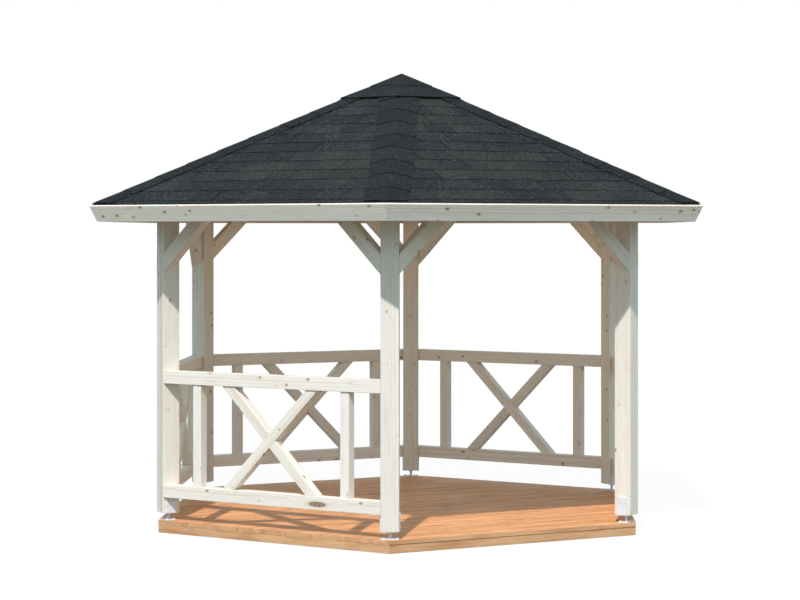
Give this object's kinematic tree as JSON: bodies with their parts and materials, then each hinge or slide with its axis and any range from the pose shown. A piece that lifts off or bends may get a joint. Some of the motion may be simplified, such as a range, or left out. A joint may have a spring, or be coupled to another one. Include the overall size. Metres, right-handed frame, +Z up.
{
  "type": "garden gazebo",
  "caption": "Open hexagonal timber garden gazebo with a plank floor on bearers, posts on steel shoes, knee braces, cross-braced railings with one open entrance, and a shingled pyramid roof.",
  "frame": {"origin": "centre of the floor at ground level", "axes": "+Z up, -Y towards the front corner post, +X to the right; the open entrance side lies between the front and the front-right posts"},
  "size_m": [4.1334, 4.7728, 3.2195],
  "materials": {
    "pale_timber": "planed, untreated spruce",
    "deck_timber": "planed larch boards",
    "roof_timber": "planed roof boards and rafters",
    "galvanised_steel": "hot-dip galvanised, dull",
    "shingle": "mineral-surfaced bitumen shingle, matt"
  },
  "bodies": {
    "root": {"floor_boards": "deck_timber", "floor_frame": "deck_timber", "post_front": "pale_timber", "post_front_right": "pale_timber", "post_back_right": "pale_timber", "post_back": "pale_timber", "post_back_left": "pale_timber", "post_front_left": "pale_timber", "shoe_front": "galvanised_steel", "shoe_front_right": "galvanised_steel", "shoe_back_right": "galvanised_steel", "shoe_back": "galvanised_steel", "shoe_back_left": "galvanised_steel", "shoe_front_left": "galvanised_steel", "beam_front_left": "pale_timber", "beam_front_right": "pale_timber", "beam_right": "pale_timber", "beam_back_right": "pale_timber", "beam_back_left": "pale_timber", "beam_left": "pale_timber", "braces_front_left": "pale_timber", "braces_front_right": "pale_timber", "braces_right": "pale_timber", "braces_back_right": "pale_timber", "braces_back_left": "pale_timber", "braces_left": "pale_timber", "railing_front_left": "pale_timber", "railing_right": "pale_timber", "railing_back_right": "pale_timber", "railing_back_left": "pale_timber", "railing_left": "pale_timber", "fascia_front_left": "pale_timber", "fascia_front_right": "pale_timber", "fascia_right": "pale_timber", "fascia_back_right": "pale_timber", "fascia_back_left": "pale_timber", "fascia_left": "pale_timber", "hip_rafters": "roof_timber", "middle_rafters": "roof_timber", "king_block": "roof_timber", "roof_boards": "roof_timber", "roof_shingles": "shingle", "hip_caps": "shingle", "peak_cap": "shingle"}
  },
  "joints": []
}
